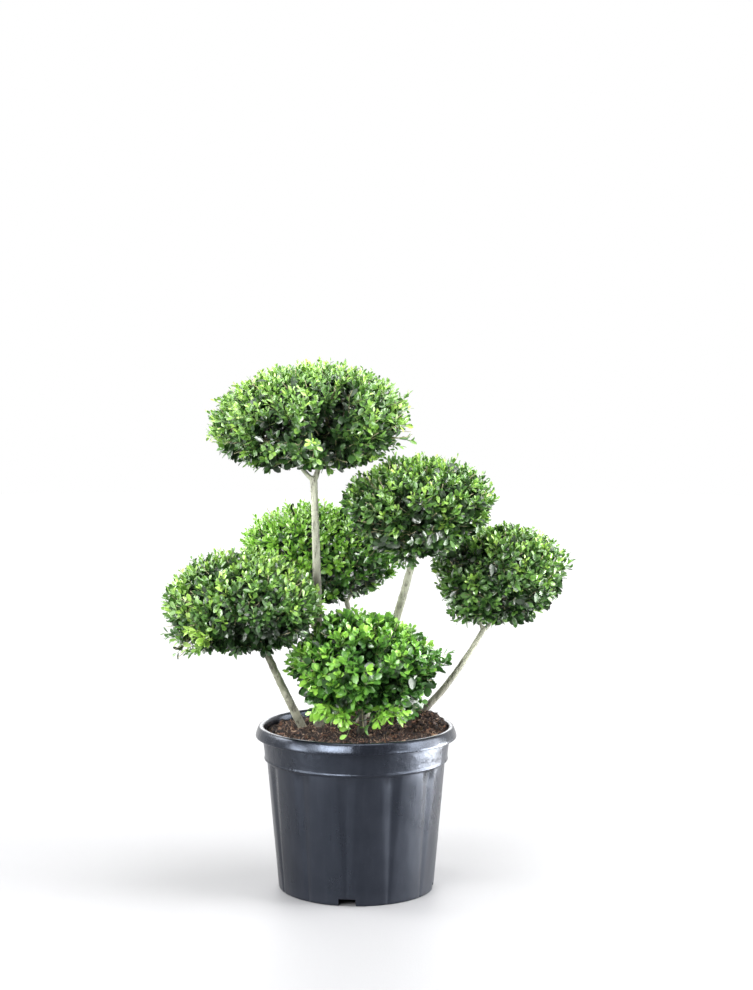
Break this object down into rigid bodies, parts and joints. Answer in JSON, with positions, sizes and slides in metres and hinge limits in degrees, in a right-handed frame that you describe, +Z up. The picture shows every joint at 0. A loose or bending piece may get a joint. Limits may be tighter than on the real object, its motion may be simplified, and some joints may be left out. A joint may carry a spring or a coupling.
{
  "type": "cloud-pruned japanese holly in a nursery pot",
  "caption": "Evergreen shrub trained as a cloud tree: bare stems rise from a round plastic pot of soil, each topped by a clipped cushion of small glossy leaves.",
  "frame": {"origin": "middle of the pot's flat underside", "axes": "+Z up, +X to the right and -Y towards the front of the plant as seen in the picture"},
  "size_m": [0.7133, 0.4898, 0.9387],
  "materials": {
    "pot_plastic": "satin",
    "potting_soil": "matte",
    "bark": "matte",
    "foliage": "satin"
  },
  "bodies": {
    "root": {"pot": "pot_plastic", "soil": "potting_soil", "stem_top": "bark", "stem_upper_right": "bark", "stem_right": "bark", "stem_back": "bark", "stem_left": "bark", "stem_front": "bark", "bough_top_right": "bark", "bough_top_left": "bark", "bough_right_outer": "bark", "bough_right_inner": "bark", "bough_back_left": "bark", "bough_back_right": "bark", "cushion_top": "foliage", "cushion_upper_right": "foliage", "cushion_right": "foliage", "cushion_back": "foliage", "cushion_left": "foliage", "cushion_front": "foliage"}
  },
  "joints": []
}
